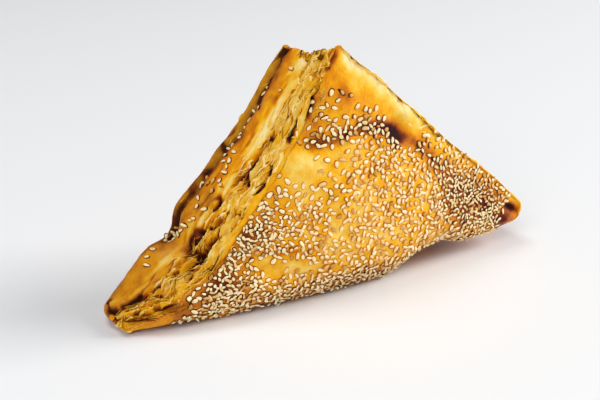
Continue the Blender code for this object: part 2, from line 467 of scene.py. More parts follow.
frontRelief = {
    # x, z, long, short, angle, height
    "spots": (
        (-53.0, 30.0, 12.0, 3.8, -34.0, -0.6),     # groove over the lower fold
        (-40.0, 21.0, 15.0, 4.0, -26.0, -0.9),
        (-33.0, 27.2, 14.0, 2.0, -4.0, -0.9),
        (-25.0, 15.0, 13.0, 3.0, -20.0, -1.0),
        (-42.0, 37.0, 22.0, 8.0, 36.0, 0.9),
        (-62.0, 17.0, 18.0, 6.0, 10.0, 0.8),
        (-24.0, 75.0, 9.0, 4.6, -62.0, -1.5),      # hollow under the apex
        (-30.0, 80.0, 5.0, 3.0, -60.0, -0.6),
        (-22.0, 62.0, 11.0, 8.0, -40.0, 1.3),      # smooth bulge
        (-6.0, 47.0, 12.0, 6.0, -30.0, 0.6),
        (-8.0, 86.0, 14.0, 5.0, -45.0, 0.7),
        (23.0, 69.0, 7.5, 3.2, -42.0, -1.7),       # burst blister
        (25.0, 76.0, 10.0, 2.6, -42.0, 0.9),
        (17.0, 63.0, 9.0, 2.6, -42.0, 0.5),
        (44.0, 49.0, 13.0, 4.0, -38.0, -0.8),
        (30.0, 45.0, 12.0, 7.0, -30.0, 0.8),
        (-2.0, 24.0, 14.0, 3.0, -30.0, 0.7),
        (-8.0, 31.0, 14.0, 2.4, -30.0, -0.8),
        (8.0, 19.0, 12.0, 3.0, -18.0, -0.7),
        (89.5, 18.8, 5.5, 2.0, -34.0, -2.4),       # hollow at the right tip
        (82.0, 26.0, 9.0, 2.2, -38.0, 0.7),
    ),
    # size, height, seed
    "waves": ((26.0, 0.60, 11), (9.0, 0.34, 12), (3.6, 0.13, 13), (1.6, 0.05, 14)),
    "offset": -0.9,                                # leaves room for the seeds
}

wallBands = {
    # share of the left leg, and where on the wall the flakes start, the dark slit runs, the
    # creamy band ends and the crevice runs; below 0 is the front face's side of its edge
    "shares": (-0.15, 0.00, 0.03, 0.10, 0.18, 0.25, 0.29, 0.34, 0.40, 0.46,
               0.52, 0.57, 0.63, 0.68, 0.74, 0.80, 0.87, 0.96, 1.05),
    "starts": (0.05, -0.12, -0.11, -0.05, 0.02, 0.05, 0.03, 0.04, 0.08, 0.07,
               0.10, 0.08, 0.09, 0.06, 0.02, -0.05, -0.06, 0.02, 0.02),
    "slits": (0.40, 0.40, 0.42, 0.43, 0.49, 0.52, 0.51, 0.48, 0.46, 0.48,
              0.46, 0.46, 0.42, 0.44, 0.42, 0.39, 0.38, 0.52, 0.53),
    "creams": (0.50, 0.50, 0.52, 0.52, 0.58, 0.61, 0.59, 0.56, 0.54, 0.55,
               0.55, 0.53, 0.55, 0.60, 0.57, 0.49, 0.50, 0.65, 0.66),
    "crevices": (0.93, 0.93, 0.93, 0.93, 0.93, 0.93, 0.93, 0.93, 0.91, 0.93,
                 0.92, 0.905, 0.92, 0.885, 0.885, 0.875, 0.885, 0.92, 0.92),
    "even": (0.05, 0.36, 0.47, 0.88),              # the same four places on an even wall
    "wander": ((7.0, 0.020, 51), (2.4, 0.012, 52)),
    "wanderOver": 0.1,                             # none at the front edge
}

wallRelief = {
    "upperPlaces": (0.0, 0.03, 0.06, 0.12, 0.20, 0.30, 0.33, 0.36, 0.39, 0.42, 0.47, 0.54, 0.62,
                    0.70, 0.78, 0.84, 0.88, 0.92, 0.96, 1.0),
    "upperHeights": (-0.2, 0.0, -0.8, -1.3, -1.2, -1.3, -1.6, -2.1, -0.9, -0.2, -0.2, 0.5, 0.9,
                     0.9, 0.4, -1.2, -3.4, -1.6, -0.4, -0.6),
    "lowerPlaces": (0.0, 0.04, 0.10, 0.20, 0.31, 0.36, 0.40, 0.46, 0.56, 0.70, 0.85, 0.95, 1.0),
    "lowerHeights": (0.0, -0.2, -1.0, -1.4, -1.4, -1.7, -0.9, 0.3, 0.8, 1.0, 0.7, 0.1, -0.6),
    "rightPlaces": (0.0, 0.04, 0.09, 0.30, 0.44, 0.50, 0.56, 0.72, 0.91, 0.96, 1.0),
    "rightHeights": (-0.4, 0.0, -1.4, -1.7, -2.4, -3.0, -2.2, -1.6, -1.4, 0.0, -0.4),
    "blur": 0.006,
    "changeFrom": 0.25,                            # share of the left leg where lower becomes upper
    "changeOver": 0.09,
    "peel": -0.7,                                  # where the face has flaked off
    # pits and gaps: share of leg, share of wall, reach of each, angle, height
    "pits": (
        (0.93, 0.15, 0.022, 0.100, 0.0, -1.8),      # hollow between the two corners
        (0.72, 0.385, 0.034, 0.034, 0.0, -3.0),
        (0.645, 0.415, 0.028, 0.036, 0.0, -3.2),
        (0.565, 0.47, 0.030, 0.038, 0.0, -3.0),
        (0.54, 0.26, 0.026, 0.034, 0.0, -2.6),
        (0.45, 0.49, 0.026, 0.042, 0.0, -3.4),
        (0.41, 0.36, 0.022, 0.040, 0.0, -2.6),
        (0.34, 0.50, 0.022, 0.050, 0.0, -2.6),
        (0.29, 0.55, 0.016, 0.050, 0.0, -2.2),
        (0.300, 0.285, 0.018, 0.050, 0.0, -3.2),
        (0.248, 0.245, 0.013, 0.034, 0.0, -2.4),
        (0.29, 0.93, 0.026, 0.070, 0.0, -1.8),
        (0.39, 0.97, 0.060, 0.045, 0.0, 0.8),
    ),
    "waves": ((14.0, 0.40, 21), (5.0, 0.22, 22), (2.2, 0.10, 23)),
    # soft folds and thin strands: size along the leg, size across it, height, seed
    "warps": ((10.0, 7.0, 1.5, 24), (4.5, 3.0, 0.7, 25)),
    "folds": (11.0, 3.2, 3.4, 26),
    "strands": (9.0, 1.5, 1.0, 27),
    "foldTop": 0.7,                                # folds are flat above this
    "foldMiddle": 0.28,
    "strandMiddle": 0.3,
    "strandSharp": 5,                              # power that makes a ridge a thin strand
    "leftSlant": 0.10,                             # sideways run of the folds for each mm along
    "rightSlant": 0.01,
    "rightLonger": 2.4,
    "rightFlatter": 0.6,
    "outer": 0.35,                                 # how much of the folds the outer strip has
    "joinOver": 0.05,
    "calm": 0.9,                                   # so much less relief close to the floor
    "calmFrom": 0.5,
    "calmOver": 5.0,
    "edgeWaves": ((7.0, 0.35, 28), (2.6, 0.22, 29)),
    "edgeReach": 0.03,
    "edgeDrop": 0.3,                               # the ragged edge lies this much lower
}

# where each region starts, over how much it sets in, where it ends and over how much it fades
regions = {
    "flakes": (0.04, 0.03, 0.37, 0.02),            # left leg, on the even wall
    "lowLeg": (0.27, 0.05, 0.64, 0.10),            # share of the leg with flakes past the slit
    "lowFlakes": (0.34, 0.02, 0.53, 0.07),
    "lowShare": 0.7,                               # how open they are against the others
    "rightFlakes": (0.05, 0.05, 0.95, 0.05),
    "outer": (0.89, 0.03, 1.01, 0.03),             # the strip outside the crevice
}

# cracks and slits: places as shares of the left leg and of the wall, half width, depth, and how
# much darker they are with painted shade
wallLines = (
    # curved crack in the lip
    (((0.025, 0.480), (0.040, 0.480), (0.060, 0.450), (0.083, 0.478)), 0.90, 1.8, 0.85),
    (((0.083, 0.478), (0.102, 0.511), (0.129, 0.533), (0.165, 0.587)), 0.36, 0.6, 0.30),
    (((0.120, 0.424), (0.134, 0.413), (0.147, 0.370)), 0.85, 2.0, 0.62),
    # pockets with strands over them
    (((0.330, 0.285), (0.355, 0.245)), 1.50, 2.4, 0.72),
    (((0.296, 0.345), (0.308, 0.322)), 1.10, 1.8, 0.56),
    (((0.200, 0.410), (0.214, 0.392)), 0.80, 1.6, 0.50),
    (((0.134, 0.152), (0.160, 0.152)), 0.70, 1.6, 0.48),
    (((0.210, 0.185), (0.228, 0.152)), 0.60, 1.6, 0.45),
    (((0.192, 0.380), (0.205, 0.370)), 0.80, 1.8, 0.50),
    (((0.083, 0.261), (0.093, 0.283)), 0.50, 1.4, 0.48),
    (((0.083, 0.125), (0.092, 0.115)), 0.40, 1.2, 0.40),
    (((0.083, 0.030), (0.097, 0.025)), 0.60, 1.4, 0.46),
    (((0.037, 0.109), (0.051, 0.120)), 0.50, 1.4, 0.50),
    (((0.032, 0.065), (0.051, 0.043)), 0.42, 1.2, 0.50),
    (((0.023, 0.015), (0.042, 0.022)), 0.42, 1.0, 0.50),
    (((0.051, 0.010), (0.065, 0.011)), 0.50, 1.2, 0.50),
    # hole at the tip
    (((-0.016, 0.610), (-0.013, 0.530), (-0.006, 0.460)), 1.60, 2.8, 0.92),
    (((-0.010, 0.700), (-0.004, 0.860)), 0.60, 0.8, 0.40),
    (((0.000, 0.860), (0.010, 0.810)), 0.70, 1.0, 0.40),
    (((-0.045, 0.220), (-0.020, 0.160), (0.000, 0.120)), 0.75, 1.6, 0.56),
    (((0.003, 0.030), (0.014, 0.020)), 0.60, 1.2, 0.50),
)

backRelief = {
    "waves": ((34.0, 0.7, 31), (12.0, 0.35, 32), (4.0, 0.10, 33)),
}


def waveSum(points, waves):
    # noise of several cell sizes, each with its own height
    return sum(height * softNoise(points, size, seed) for size, height, seed in waves)


def bandPlaces(left, s):
    # where the four places are at each share of the leg, with the wall's two ends round them
    lines = ("starts", "slits", "creams", "crevices")
    inner = [np.interp(left, s["shares"], s[key]) for key in lines]
    ends = np.ones(np.shape(left))
    return [-0.5 * ends, *inner, ends], (-0.5, *s["even"], 1.0)


def piecewise(value, fromPlaces, toPlaces):
    # straight runs between matching places, each added as its share of the step
    total = toPlaces[0] + 0.0 * value
    for i in range(len(fromPlaces) - 1):
        share = np.clip((value - fromPlaces[i]) / (fromPlaces[i + 1] - fromPlaces[i]), 0.0, 1.0)
        total = total + share * (toPlaces[i + 1] - toPlaces[i])
    return total


def evenPlace(place, left):
    # a place on the real wall moved to an even wall
    real, even = bandPlaces(left, wallBands)
    return piecewise(place, real, even)


def realPlace(place, left):
    # a place on the even wall moved to the real one
    real, even = bandPlaces(left, wallBands)
    return piecewise(place, even, real)


across = np.repeat(acrossShare[:, None], columnCount, axis=1)
leftAlong = np.repeat(leftShare[None], rowCount, axis=0)
rightAlong = np.repeat(rightShare[None], rowCount, axis=0)
layered = np.repeat(layeredColumns[None], rowCount, axis=0)
rightness = np.repeat(rightColumnsShare[None], rowCount, axis=0)
onFront = across <= 0.0
onBack = across >= 1.0
onWall = ~(onFront | onBack)
baseX, baseZ = base[..., 0], base[..., 2]
leftSide = layered * (1.0 - rightness)
wander = waveSum(base, wallBands["wander"]) * rampUp(across, 0.0, wallBands["wanderOver"])
even = evenPlace(across + wander, leftAlong)
upperShare = rampUp(leftAlong, wallRelief["changeFrom"], wallRelief["changeOver"])
wallWidth = 38.0                                   # about how wide the layered wall is
rightApart = 400.0                                 # so that the two legs don't share their noise
lengthAlong = np.where(rightness > 0.5, rightAlong * rightLength + rightApart,
                       leftAlong * leftLength)

# where the pastry is open in flakes: most of the right wall, and the left wall up to the slit
flakyLeft = between(even, *regions["flakes"]) * leftSide
lowLeg = between(leftAlong, *regions["lowLeg"]) * onWall * leftSide
lowFlakes = regions["lowShare"] * lowLeg * between(even, *regions["lowFlakes"])
flakyLeft = np.maximum(flakyLeft, lowFlakes)
flakyRight = between(across, *regions["rightFlakes"]) * layered * rightness
flaky = np.maximum(flakyLeft, flakyRight)
outerStrip = between(even, *regions["outer"]) * leftSide * upperShare * onWall


def lineMarks(lines):
    # exp(-(distance/width)²) from each broken line, once as depth and once as painted shade
    depths = np.zeros(base.shape[:2])
    shades = np.zeros(base.shape[:2])
    for places, width, depth, darker in lines:
        along, place = np.array(places).T
        row = edgeRow + place * crustShape["wallRows"]
        corners = gridSample(base, row, legColumn("left", along))
        nearest = np.full(base.shape[:2], np.inf)
        for start, end in zip(corners[:-1], corners[1:]):
            step = end - start
            share = np.clip(((base - start) @ step) / (step @ step), 0.0, 1.0)
            away = np.linalg.norm(base - start - share[..., None] * step, axis=-1)
            nearest = np.minimum(nearest, away)
        mark = np.exp(-(nearest / width) ** 2)
        depths += depth * mark
        shades += darker * mark
    return depths, shades


lineDepths, lineShades = lineMarks(wallLines)


def longNoise(lengthwise, crosswise, sizeAlong, sizeAcross, seed):
    # noise with cells longer along the leg than across it
    cells = np.stack((lengthwise / sizeAlong, crosswise / sizeAcross, 0.0 * crosswise), axis=-1)
    return softNoise(cells, 1.0, seed)


def foldForm(s):
    # rounded folds as |noise|, with creases where the noise changes sign, and strands as
    # (1 - |noise|)^5; both are read at places pushed about by slower noise
    onRight = rightness > 0.5
    lengthwise = np.where(onRight, lengthAlong / s["rightLonger"], lengthAlong)
    slant = np.where(onRight, s["rightSlant"], s["leftSlant"])
    crosswise = across * wallWidth + slant * lengthAlong
    for sizeAlong, sizeAcross, push, seed in s["warps"]:
        pushed = longNoise(lengthwise, across * wallWidth, sizeAlong, sizeAcross, seed)
        crosswise = crosswise + push * pushed
    sizeAlong, sizeAcross, foldTall, seed = s["folds"]
    fold = np.abs(longNoise(lengthwise, crosswise, sizeAlong, sizeAcross, seed))
    sizeAlong, sizeAcross, strandTall, seed = s["strands"]
    ridge = 1.0 - np.abs(longNoise(lengthwise, crosswise, sizeAlong, sizeAcross, seed))
    strand = ridge ** s["strandSharp"]
    height = (foldTall * (np.minimum(fold, s["foldTop"]) - s["foldMiddle"])
              + strandTall * (strand - s["strandMiddle"]))
    return np.where(onRight, s["rightFlatter"] * height, height), fold, strand


foldHeights, foldRise, strandRise = foldForm(wallRelief)


def crustHeights():
    # wall: section + pits + folds + noise; faces: spots + noise; the two are joined at the
    # sheets' edges, and the cracks and slits are taken off
    s = wallRelief
    upper = softProfile(even, s["upperPlaces"], s["upperHeights"], s["blur"])
    lower = softProfile(even, s["lowerPlaces"], s["lowerHeights"], s["blur"])
    right = softProfile(across, s["rightPlaces"], s["rightHeights"], s["blur"])
    left = lower + (upper - lower) * upperShare + spotSum(leftAlong, across, s["pits"])
    wall = (left + (right - left) * rightness) * layered + waveSum(base, s["waves"])
    wall = wall + foldHeights * (flaky + s["outer"] * outerStrip)
    front = spotSum(baseX, baseZ, frontRelief["spots"]) + waveSum(base, frontRelief["waves"])
    front = front + frontRelief["offset"] + (s["peel"] + foldHeights) * flakyLeft
    back = waveSum(base, backRelief["waves"])
    faces = np.where(across < 0.5, front, back)
    join = np.where(onWall, rampUp(np.minimum(across, 1.0 - across), 0.0, s["joinOver"]), 0.0)
    height = faces + (wall - faces) * join * layered
    height = height * (1.0 - s["calm"] * (1.0 - rampUp(baseZ, s["calmFrom"], s["calmOver"])))
    reach = s["edgeReach"]
    nearEdge = np.exp(-(across / reach) ** 2) + np.exp(-((across - 1.0) / reach) ** 2)
    ragged = nearEdge * layered * (waveSum(base, s["edgeWaves"]) - s["edgeDrop"])
    return height + ragged - lineDepths


reliefHeight = crustHeights()
surface = base + baseNormals * reliefHeight[..., None]
surface[..., 2] = np.maximum(surface[..., 2], 0.0)
surfaceNormals = gridNormals(surface)
print("crust relief", reliefHeight.min().round(1), reliefHeight.max().round(1))


# how far each place is baked, with painted shade and painted highlights mixed in: 0 pale cream,
# 0.35 golden, 0.6 orange-brown, 0.8 red-brown, 1 burnt

bakeSpots = {
    "frontBase": 0.31,
    # x, z, long, short, angle, amount
    "front": (
        (-9.0, 89.0, 13.0, 9.0, -50.0, 0.13),      # glossy orange under the apex
        (-4.0, 86.0, 6.0, 4.0, -40.0, 0.08),
        (-19.5, 77.0, 10.0, 3.6, -85.0, 0.13),     # hollow beside it, darker with painted shade
        (12.0, 90.6, 22.0, 4.0, -40.0, -0.26),     # pale edge
        (-2.5, 100.5, 6.0, 3.2, -60.0, -0.24),
        (-10.2, 103.5, 5.0, 1.6, 58.0, 0.52),      # brown corner of the front sheet
        (30.0, 74.0, 10.0, 4.0, -40.0, -0.20),
        (-18.5, 69.8, 5.0, 3.2, 0.0, 0.28),        # red streak
        (-7.0, 71.5, 11.0, 2.4, 8.0, 0.34),
        (8.0, 72.6, 10.0, 2.6, -8.0, 0.42),
        (12.0, 69.0, 8.0, 4.0, -20.0, 0.16),
        (21.0, 66.8, 7.5, 3.8, -35.0, 0.84),       # burst blister
        (34.0, 58.8, 8.0, 3.0, -42.0, 0.30),
        (44.0, 49.0, 9.0, 4.0, -45.0, 0.24),
        (49.0, 33.0, 12.0, 6.0, -75.0, 0.24),
        (57.0, 19.0, 11.0, 8.0, -50.0, 0.20),
        (66.0, 30.0, 19.0, 10.0, -36.0, 0.44),
        (77.0, 19.0, 10.0, 7.0, -20.0, 0.16),
        (60.0, 44.0, 24.0, 3.6, -41.0, -0.12),
        (-21.5, 61.5, 9.0, 6.5, -35.0, -0.17),     # smooth bulge, paler with a painted highlight
        (-27.0, 54.0, 5.0, 5.0, 0.0, -0.05),
        (-15.0, 51.5, 9.0, 5.0, -30.0, 0.10),      # orange patch
        (4.0, 38.0, 20.0, 10.0, -35.0, -0.11),
        (8.0, 24.0, 24.0, 8.0, -18.0, -0.09),
        (32.0, 40.0, 16.0, 7.0, -38.0, -0.08),
        (-14.0, 28.0, 9.0, 4.0, -20.0, -0.10),
        (-47.0, 38.0, 9.0, 7.0, 45.0, 0.32),       # red between the seeds
        (-57.0, 24.0, 11.0, 7.0, 50.0, 0.30),
        (-63.0, 17.0, 8.0, 5.0, 20.0, 0.24),
        (-52.0, 13.0, 12.0, 5.0, 0.0, 0.22),
        (-76.0, 11.0, 11.0, 5.0, 10.0, 0.26),      # smooth orange-brown lip
        (-33.0, 27.4, 13.0, 1.1, -4.0, 0.26),      # crease over it, darker with painted shade
        (-7.4, 33.0, 6.0, 5.0, 0.0, -0.12),        # pale lumps
        (-28.7, 21.0, 8.0, 3.6, -15.0, -0.08),
        (-42.0, 22.6, 6.0, 3.2, -20.0, -0.05),
        (-17.8, 17.0, 8.0, 3.0, -10.0, -0.10),
        (-4.0, 22.0, 6.0, 4.0, 0.0, -0.10),
        (0.0, 4.0, 78.0, 6.0, 0.0, 0.38),          # darker along the fold by the floor: painted shade
        (85.5, 14.2, 8.0, 4.2, -20.0, 0.40),       # right tip darker, and the hollow in it darker with painted shade
        (90.0, 18.4, 5.0, 1.7, -32.0, 0.80),
    ),
    # across the wall, upper and lower: the dark steps at the slit and at the crevice are painted
    # shade
    "upperPlaces": (0.0, 0.05, 0.10, 0.30, 0.34, 0.355, 0.37, 0.40, 0.46, 0.485, 0.56, 0.66, 0.72,
                    0.79, 0.835, 0.87, 0.90, 0.935, 0.965, 1.0),
    "upperBakes": (0.30, 0.28, 0.24, 0.24, 0.50, 0.66, 0.20, 0.13, 0.15, 0.36, 0.42, 0.47, 0.54,
                   0.68, 0.84, 0.94, 0.74, 0.50, 0.42, 0.38),
    "upperBlur": 0.004,
    "lowerPlaces": (0.0, 0.06, 0.10, 0.31, 0.36, 0.41, 0.56, 0.70, 0.86, 0.95, 1.0),
    "lowerBakes": (0.34, 0.32, 0.28, 0.30, 0.56, 0.42, 0.46, 0.50, 0.52, 0.70, 0.76),
    "lowerBlur": 0.010,
    # share of the left leg, share of the wall
    "wall": (
        (0.985, 0.02, 0.04, 0.05, 0.0, 0.50),      # brown corner of the front sheet
        # darker in the hollow between the two corners: painted shade
        (0.93, 0.16, 0.020, 0.11, 0.0, 0.46),
        (1.00, 0.97, 0.06, 0.10, 0.0, 0.40),       # brown tip of the back sheet
        (0.975, 0.55, 0.020, 0.12, 0.0, -0.20),
        # from here to (0.29, 0.92), darker in the pits and gaps: painted shade
        (0.72, 0.385, 0.034, 0.034, 0.0, 0.50),
        (0.645, 0.415, 0.028, 0.036, 0.0, 0.54),
        (0.565, 0.47, 0.030, 0.038, 0.0, 0.50),
        (0.54, 0.26, 0.026, 0.034, 0.0, 0.44),
        (0.41, 0.36, 0.022, 0.040, 0.0, 0.44),
        (0.34, 0.50, 0.025, 0.06, 0.0, 0.46),
        (0.29, 0.55, 0.020, 0.06, 0.0, 0.46),
        (0.45, 0.49, 0.022, 0.035, 0.0, 0.44),
        (0.300, 0.285, 0.020, 0.052, 0.0, 0.54),
        (0.248, 0.245, 0.014, 0.036, 0.0, 0.44),
        (0.30, 0.42, 0.040, 0.10, 0.0, 0.22),
        (0.29, 0.92, 0.03, 0.08, 0.0, 0.34),
        (0.014, 0.680, 0.018, 0.080, 0.0, -0.22),  # squarish pale flake
        (0.060, 0.200, 0.070, 0.240, 0.0, 0.14),
        (-0.052, 0.730, 0.014, 0.060, 0.0, 0.44),
        (-0.050, 0.900, 0.060, 0.080, 0.0, 0.30),
        (0.20, 0.60, 0.05, 0.05, 0.0, -0.26),      # pale stretch over the web
        (0.40, 0.975, 0.10, 0.03, 0.0, -0.08),     # the outer rim: paler low down, darker high up
        (0.80, 0.94, 0.10, 0.05, 0.0, 0.14),
        (0.40, 0.52, 0.09, 0.08, 0.0, 0.10),
        (0.59, 0.49, 0.06, 0.05, 0.0, 0.10),
        (0.440, 0.650, 0.040, 0.014, 0.0, 0.26),   # groove in the low roll, darker with painted shade
    ),
    "right": 0.34,
    "back": 0.49,
    "backSpots": (
        (-30.0, 30.0, 28.0, 12.0, 20.0, 0.16),
        (30.0, 42.0, 22.0, 12.0, -30.0, 0.15),
        (-4.0, 76.0, 12.0, 10.0, 0.0, 0.10),
        (-60.0, 14.0, 18.0, 8.0, 20.0, 0.14),
        (-2.0, 54.0, 10.0, 13.0, 20.0, -0.12),
        (54.0, 24.0, 13.0, 8.0, -30.0, -0.12),
        (4.0, 14.0, 26.0, 6.0, 0.0, -0.10),
        (-58.0, 26.0, 12.0, 5.0, 40.0, -0.08),
        (74.0, 20.0, 10.0, 6.0, -30.0, 0.14),
    ),
    "fold": 0.60,
    "joinOver": 0.04,
    "mottle": ((13.0, 0.06, 41), (6.0, 0.09, 42), (2.6, 0.08, 43), (1.3, 0.05, 44)),
    "backMottles": 2,                              # only the coarser ones there
    "creaseShade": 0.84,                                # painted shade: how much darker the creases between folds are
    "creaseBelow": (0.25, 0.22),                   # where folds become creases, over how much
    "rightCrease": 0.6,                            # the right leg's against that
    "strandHighlight": -0.16,                          # and how much paler the strands are, a painted highlight
    "outerCreases": 0.5,                           # on the outer strip, against the flakes
    # along the creamy band: size along, size across, amount, seed, and where it has them
    "streaks": (6.0, 1.3, 0.24, 45),
    "streakBand": (0.36, 0.02, 0.60, 0.10),
    "outerStreaks": (0.84, 0.03),
    "outerStreakShare": 0.2,                       # how strong they are there
    "lowStreaks": (0.36, 0.02, 0.84, 0.04),
    "lowStreakShare": 0.5,
    "darker": 0.015,                               # everywhere
}


def crustBakes(s):
    # one baking map for each region, each a base + spots, joined at the edges, plus noise; painted
    # shade darkens creases, cracks, pits and hollows, and a painted highlight lightens the strands
    front = s["frontBase"] + spotSum(baseX, baseZ, s["front"])
    upper = softProfile(even, s["upperPlaces"], s["upperBakes"], s["upperBlur"])
    lower = softProfile(even, s["lowerPlaces"], s["lowerBakes"], s["lowerBlur"])
    left = lower + (upper - lower) * upperShare + spotSum(leftAlong, across, s["wall"])
    legs = left + (s["right"] - left) * rightness
    back = s["back"] + spotSum(baseX, baseZ, s["backSpots"])
    wall = s["fold"] + (legs - s["fold"]) * layered
    faces = np.where(across < 0.5, front, back)
    join = np.where(onWall, rampUp(np.minimum(across, 1.0 - across), 0.0, s["joinOver"]), 0.0)
    # painted shade in the creases between folds, and a painted highlight on the strands
    creaseShadeMask = rampDown(foldRise, *s["creaseBelow"])
    creaseShade = s["creaseShade"] * creaseShadeMask * (1.0 - (1.0 - s["rightCrease"]) * rightness)
    creaseShade = creaseShade + s["strandHighlight"] * strandRise
    opened = np.maximum(flaky, s["outerCreases"] * outerStrip)
    bakes = faces + (wall - faces) * join + creaseShade * opened
    band = between(even, *s["streakBand"])
    band = np.maximum(band, s["outerStreakShare"] * rampUp(even, *s["outerStreaks"]))
    band = band * leftSide * onWall
    lowBand = s["lowStreakShare"] * lowLeg * between(even, *s["lowStreaks"])
    sizeAlong, sizeAcross, amount, seed = s["streaks"]
    streaks = longNoise(lengthAlong, across * wallWidth, sizeAlong, sizeAcross, seed)
    bakes = bakes + amount * np.maximum(band, lowBand) * streaks
    bakes = bakes + lineShades + s["darker"]
    coarse = s["mottle"][:s["backMottles"]]
    mottle = np.where(onBack, waveSum(base, coarse), waveSum(base, s["mottle"]))
    return np.clip(bakes + mottle, 0.0, 1.0)


eggWash = {
    "roll": (0.46, 0.04, 0.86, 0.04),              # on the even wall, high up the left leg
    "lip": (0.40, 0.05, 0.98, 0.04),               # and low down
    "overEdge": 0.02,                              # the face's wash goes this far on to the wall
    "lessOnFlakes": 0.8,
    "lessWhereDark": 0.9,
    "dark": (0.74, 0.12),
}


def crustWash(s):
    # egg wash on the front face, the upper roll and the lower lip
    roll = between(even, *s["roll"])
    lip = between(even, *s["lip"])
    onLeg = (lip + (roll - lip) * upperShare) * leftSide * onWall
    wash = np.where(across <= s["overEdge"], 1.0, onLeg)
    wash = wash * (1.0 - s["lessOnFlakes"] * flaky)
    return wash * (1.0 - s["lessWhereDark"] * rampUp(bakeAndShade, *s["dark"]))


# olive tint: how strong it is in each patch, and where the patch starts and ends
olivePatches = {
    "outer": (0.3, 0.3),                           # low down the leg, and more higher up it
    "outerFrom": (0.86, 0.05),
    "flakes": 0.16,
    "rightFlakes": 0.06,
    "roll": 0.30,
    "rollTo": (0.52, 0.06),
    "rollAcross": (0.4, 0.1),
    "rollFrom": (0.02, 0.06),
    "lip": 0.34,
    "lipTo": (0.26, 0.10),
    "lipAcross": (0.36, 0.1),
    "face": 0.13,                                  # low on the left of the front face
    "faceBelow": (36.0, 12.0),
    "faceLeftOf": (20.0, 20.0),
    "lessWhereDark": 0.9,
    "dark": (0.70, 0.2),
    "back": 0.25,
}


def crustOlive(s):
    # the strongest of the patches that reach a place, and one amount for the whole back
    onLeg = leftSide * onWall
    low, more = s["outer"]
    outer = rampUp(even, *s["outerFrom"]) * onLeg * (low + more * upperShare)
    flakes = np.where(rightness > 0.5, s["rightFlakes"], s["flakes"]) * flaky
    roll = (s["roll"] * rampDown(leftAlong, *s["rollTo"]) * rampUp(even, *s["rollAcross"])
            * onLeg * rampUp(leftAlong, *s["rollFrom"]))
    lip = s["lip"] * onLeg * rampDown(leftAlong, *s["lipTo"]) * rampUp(even, *s["lipAcross"])
    face = s["face"] * onFront * rampDown(baseZ, *s["faceBelow"])
    face = face * rampDown(baseX, *s["faceLeftOf"])
    olive = np.maximum.reduce((outer, flakes, roll, lip, face))
    olive = olive * (1.0 - s["lessWhereDark"] * rampUp(bakeAndShade, *s["dark"]))
    return np.where(onBack, s["back"], olive)


bakeAndShade = crustBakes(bakeSpots)
wash = crustWash(eggWash)
olive = crustOlive(olivePatches)
print("crust baked")


# finishes

crustFinish = {
    # place on the baking scale and colour there
    "colours": (
        (0.00, (1.00, 0.78, 0.34)),
        (0.14, (0.98, 0.65, 0.11)),
        (0.32, (0.94, 0.45, 0.005)),
        (0.49, (0.78, 0.26, 0.001)),
        (0.64, (0.46, 0.115, 0.001)),
        (0.79, (0.20, 0.026, 0.001)),
        (0.91, (0.085, 0.006, 0.004)),
        (1.00, (0.020, 0.001, 0.002)),
    ),
    "olive": (0.42, 0.21, 0.012),
    "grain": (130.0, 900.0),               # scales of the coarse and the fine noise
    "mottle": 0.22,                        # how much each of them shifts the baking
    "speckle": 0.10,
    "rough": 0.68,                         # dry, and how much less under egg wash
    "washRough": -0.30,
    "mottleRough": 0.25,
    "coat": 0.12,
    "coatRough": 0.18,
    "mottleHeight": 1.4,                   # in the bump, against the fine grain
    "bump": 0.45,
    "shine": 0.09,
}

# the finishes with one attribute: from 0 at the foot of a layer, dark with painted shade, to 1
# along its edge, and from 0 for a pale seed to 1 for a brown one
layerFinish = {
    "name": "layeredEdge",
    "attribute": "edge",
    "colours": (
        (0.00, (0.12, 0.034, 0.001)),
        (0.24, (0.50, 0.21, 0.003)),
        (0.50, (0.89, 0.51, 0.035)),
        (0.80, (0.97, 0.67, 0.14)),
        (1.00, (1.00, 0.83, 0.40)),
    ),
    "grain": (300.0, 1500.0),
    "mottle": 0.5,
    "rough": 0.6,
    "bump": 0.2,
    "shine": 0.09,
}

seedFinish = {
    "name": "sesameSeed",
    "attribute": "toast",
    "colours": (
        (0.00, (0.99, 0.84, 0.51)),
        (0.55, (0.93, 0.66, 0.29)),
        (1.00, (0.62, 0.29, 0.06)),
    ),
    "grain": (500.0, 2500.0),
    "mottle": 0.5,
    "rough": 0.42,
    "bump": 0.08,
    "shine": 0.09,
}


def newMaterial(name):
    material = bpy.data.materials.new(name)
    material.use_nodes = True
    return material, material.node_tree, material.node_tree.nodes["Principled BSDF"]


def addNode(tree, kind, **settings):
    node = tree.nodes.new(kind)
    for key, value in settings.items():
        setattr(node, key, value)
    return node


def readValue(tree, label):
    return addNode(tree, "ShaderNodeAttribute", attribute_name=label).outputs["Fac"]


def combine(tree, operation, *values):
    # one Math node; each value is a socket or a number
    node = addNode(tree, "ShaderNodeMath", operation=operation)
    for socket, value in zip(node.inputs, values):
        if isinstance(value, bpy.types.NodeSocket):
            tree.links.new(value, socket)
        else:
            socket.default_value = value
    return node.outputs[0]


def rampColour(tree, value, colours):
    # a colour ramp read at the value; its own two stops are used first, then stops are added
    node = addNode(tree, "ShaderNodeValToRGB")
    stops = node.color_ramp.elements
    while len(stops) < len(colours):
        stops.new(1.0)
    for stop, (place, colour) in zip(stops, colours):
        stop.position = place
        stop.color = (*colour, 1.0)
    tree.links.new(value, node.inputs["Fac"])
    return node.outputs["Color"]


